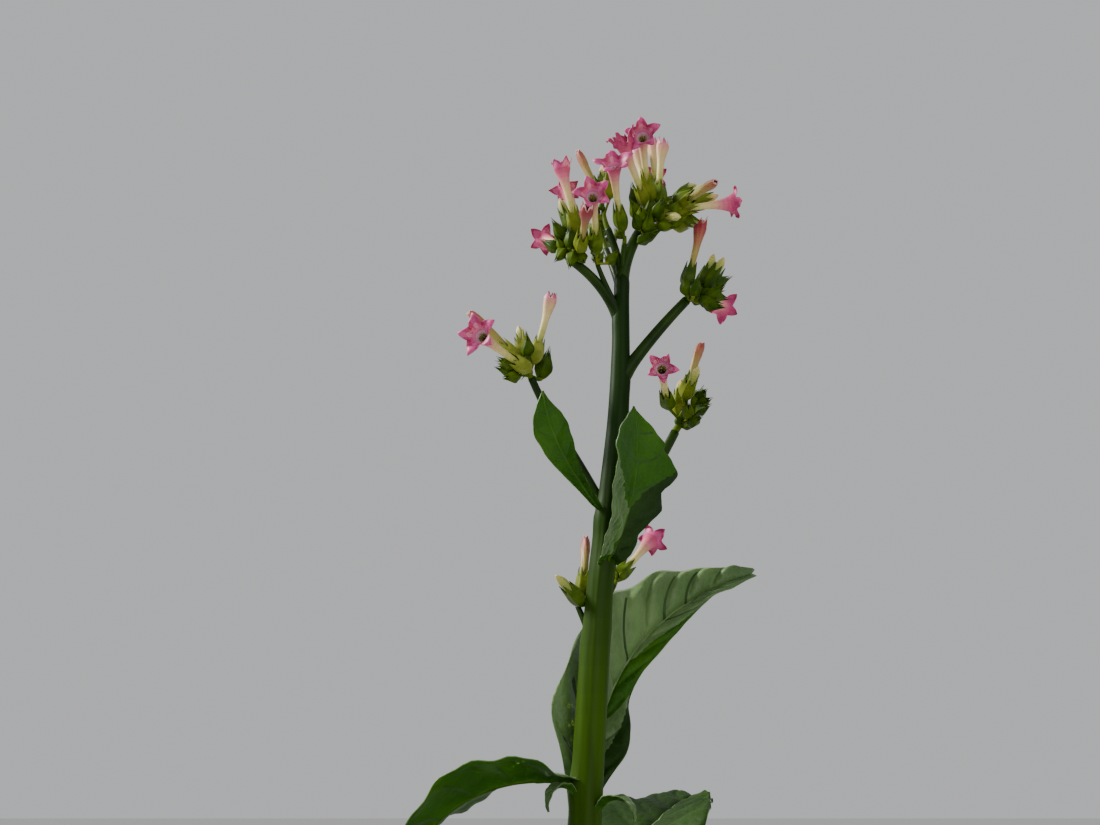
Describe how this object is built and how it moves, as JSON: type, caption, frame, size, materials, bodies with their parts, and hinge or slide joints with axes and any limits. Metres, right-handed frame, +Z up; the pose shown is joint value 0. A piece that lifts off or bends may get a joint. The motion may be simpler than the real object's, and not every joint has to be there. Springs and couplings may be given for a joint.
{
  "type": "tobacco plant",
  "caption": "Tall flowering tobacco plant: a leaning stem, a spiral of broad drooping leaves, and branching heads of pink tubular flowers.",
  "frame": {"origin": "middle of the flat cut under the main stem, at ground level, where the plant stands rooted", "axes": "+Z up, +X to the right of the pictured view, +Y away from the viewer of that view"},
  "size_m": [0.8832, 0.8823, 1.6913],
  "materials": {
    "stem": "satin",
    "leaf": "satin",
    "flower_head": "satin"
  },
  "bodies": {
    "root": {"bough_back_top": "stem", "bough_front_top": "stem", "bough_left": "stem", "bough_left_inner": "stem", "bough_left_top": "stem", "bough_low_left": "stem", "bough_low_right": "stem", "bough_mid_top": "stem", "bough_right": "stem", "bough_right_low": "stem", "bough_right_top": "stem", "head_back_top": "flower_head", "head_front_top": "flower_head", "head_left": "flower_head", "head_left_inner": "flower_head", "head_left_top": "flower_head", "head_low_left": "flower_head", "head_low_right": "flower_head", "head_mid_top": "flower_head", "head_right": "flower_head", "head_right_low": "flower_head", "head_right_top": "flower_head", "leaf_01": "leaf", "leaf_02": "leaf", "leaf_03": "leaf", "leaf_04": "leaf", "leaf_05": "leaf", "leaf_06": "leaf", "leaf_07": "leaf", "leaf_08": "leaf", "leaf_09": "leaf", "leaf_10": "leaf", "leaf_11": "leaf", "leaf_12": "leaf", "leaf_13": "leaf", "leaf_14": "leaf", "leaf_15": "leaf", "leaf_16": "leaf", "leaf_17": "leaf", "leaf_front": "leaf", "leaf_left": "leaf", "leaf_low_left": "leaf", "leaf_low_right": "leaf", "leaf_right": "leaf", "leaf_small_left": "leaf", "leaf_small_right": "leaf", "main_stem": "stem"}
  },
  "joints": []
}
